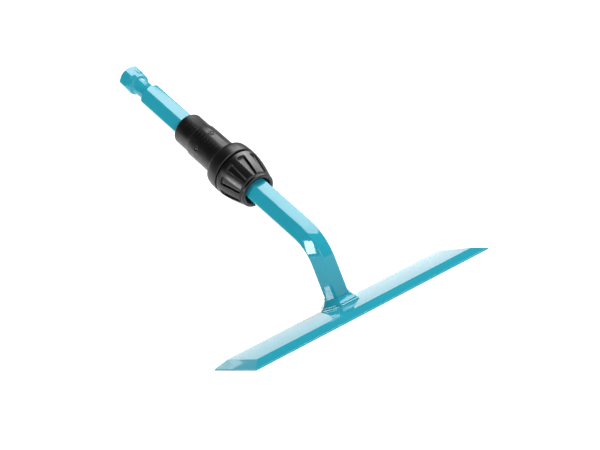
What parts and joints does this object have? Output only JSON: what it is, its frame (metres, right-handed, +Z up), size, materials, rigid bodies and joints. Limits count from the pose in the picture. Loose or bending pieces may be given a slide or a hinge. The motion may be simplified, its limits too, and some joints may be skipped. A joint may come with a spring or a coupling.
{
  "type": "push-pull blade head",
  "caption": "Long bevelled flat blade on a bent hex bar with a grooved head and a sliding clamp coupling for a tool handle.",
  "frame": {"origin": "middle of the blade's flat sole", "axes": "X along the blade, Y to the rear where the bar leans, Z up from the sole"},
  "size_m": [0.206, 0.2232, 0.203],
  "materials": {
    "enamel": "glossy turquoise enamel on steel",
    "black_plastic": "satin black moulded plastic",
    "grey_plastic": "dark grey moulded plastic",
    "rubber": "matt black rubber",
    "zinc_steel": "zinc plated"
  },
  "bodies": {
    "blade_head": {"blade": "enamel", "foot": "enamel", "foot_weld": "enamel", "shank": "enamel"},
    "coupling": {"coupling_sleeve": "black_plastic", "clamp_collet": "grey_plastic", "friction_ring": "rubber", "button_bezel_1": "black_plastic", "button_bezel_2": "black_plastic", "button_spring_1": "zinc_steel", "button_spring_2": "zinc_steel"},
    "nut_thrust": {"slip_ring": "grey_plastic"},
    "nut": {"clamp_nut": "black_plastic", "bar_wiper": "rubber"},
    "button_1": {"detent_button_1": "grey_plastic"},
    "button_2": {"detent_button_2": "grey_plastic"}
  },
  "joints": [
    {"name": "coupling_slide", "type": "slide", "parent": "blade_head", "child": "coupling", "axis": [0, 0.7638, 0.6455], "range_m": [-0.045, 0.045]},
    {"name": "nut_travel", "type": "slide", "parent": "coupling", "child": "nut_thrust", "axis": [0, -0.7638, -0.6455], "range_m": [0, 0.0046]},
    {"name": "nut_turn", "type": "hinge", "parent": "nut_thrust", "child": "nut", "pos_m": [0, 0.07538, 0.10075], "axis": [0, -0.7638, -0.6455], "range_deg": [0, 540]},
    {"name": "button_1_press", "type": "slide", "parent": "coupling", "child": "button_1", "axis": [-0.0906, 0.6428, -0.7607], "range_m": [0, 0.0006], "stiffness_N_per_m": 400, "springref_m": -0.002, "deforming": ["button_spring_1"]},
    {"name": "button_2_press", "type": "slide", "parent": "coupling", "child": "button_2", "axis": [0.9219, 0.2501, -0.296], "range_m": [0, 0.0006], "stiffness_N_per_m": 400, "springref_m": -0.002, "deforming": ["button_spring_2"]}
  ],
  "couplings": [
    {"joint": "nut_travel", "follows": "nut_turn", "m_per_rad": 0.00047746}
  ]
}
